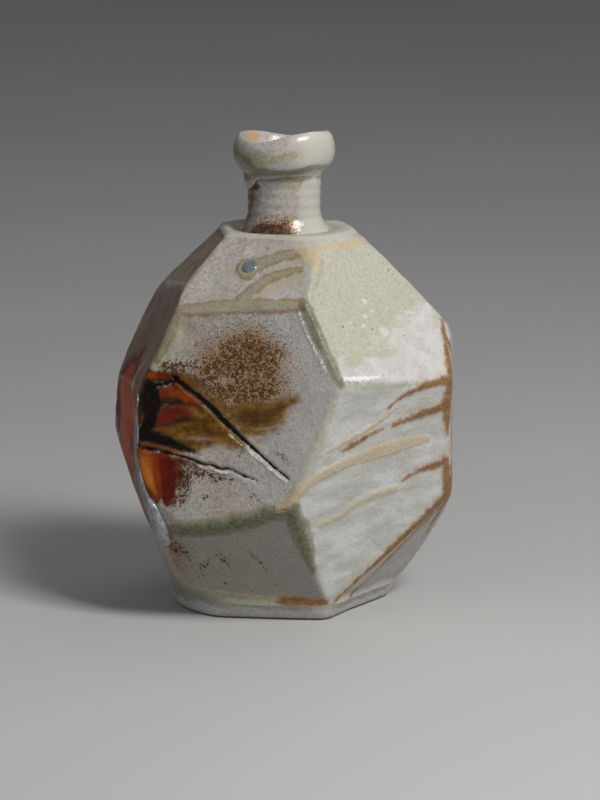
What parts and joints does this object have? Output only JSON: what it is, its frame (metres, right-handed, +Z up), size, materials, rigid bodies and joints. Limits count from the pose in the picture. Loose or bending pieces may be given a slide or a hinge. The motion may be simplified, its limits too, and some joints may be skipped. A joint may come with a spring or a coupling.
{
  "type": "sake bottle",
  "caption": "Faceted stoneware sake bottle: thrown body and foot slab cut with flat facets, narrow neck and a thick lopsided rolled rim, with pooled ash glass.",
  "frame": {"origin": "centre of the flat underside of the foot slab, on the surface that the bottle stands on", "axes": "+Z up along the neck's bore, -Y towards the front with the broad facet and the glass scar, +X to the right of that front"},
  "size_m": [0.1062, 0.0998, 0.1467],
  "materials": {
    "body_glaze": "glossy natural ash glaze, grey-white with brown, amber, red and green areas",
    "foot_glaze": "pale blue-grey glaze on the edge, bare clay underneath",
    "neck_glaze": "glossy warm grey ash glaze",
    "rim_glaze": "glossy cream ash glaze with a green-grey cast",
    "silver_glass": "glossy silver blue-grey run of ash glass",
    "blue_white_glass": "glossy blue-white bead of ash glass",
    "teal_glass": "glossy teal drop of ash glass with an olive ring",
    "brown_glass": "glossy dark brown pool of ash glass"
  },
  "bodies": {
    "root": {"body_wall": "body_glaze", "base_slab": "foot_glaze", "neck": "neck_glaze", "lip_collar": "rim_glaze", "glaze_run_side": "silver_glass", "glaze_bead_corner": "blue_white_glass", "glaze_drop_shoulder": "teal_glass", "glaze_pool_neck": "brown_glass"}
  },
  "joints": []
}
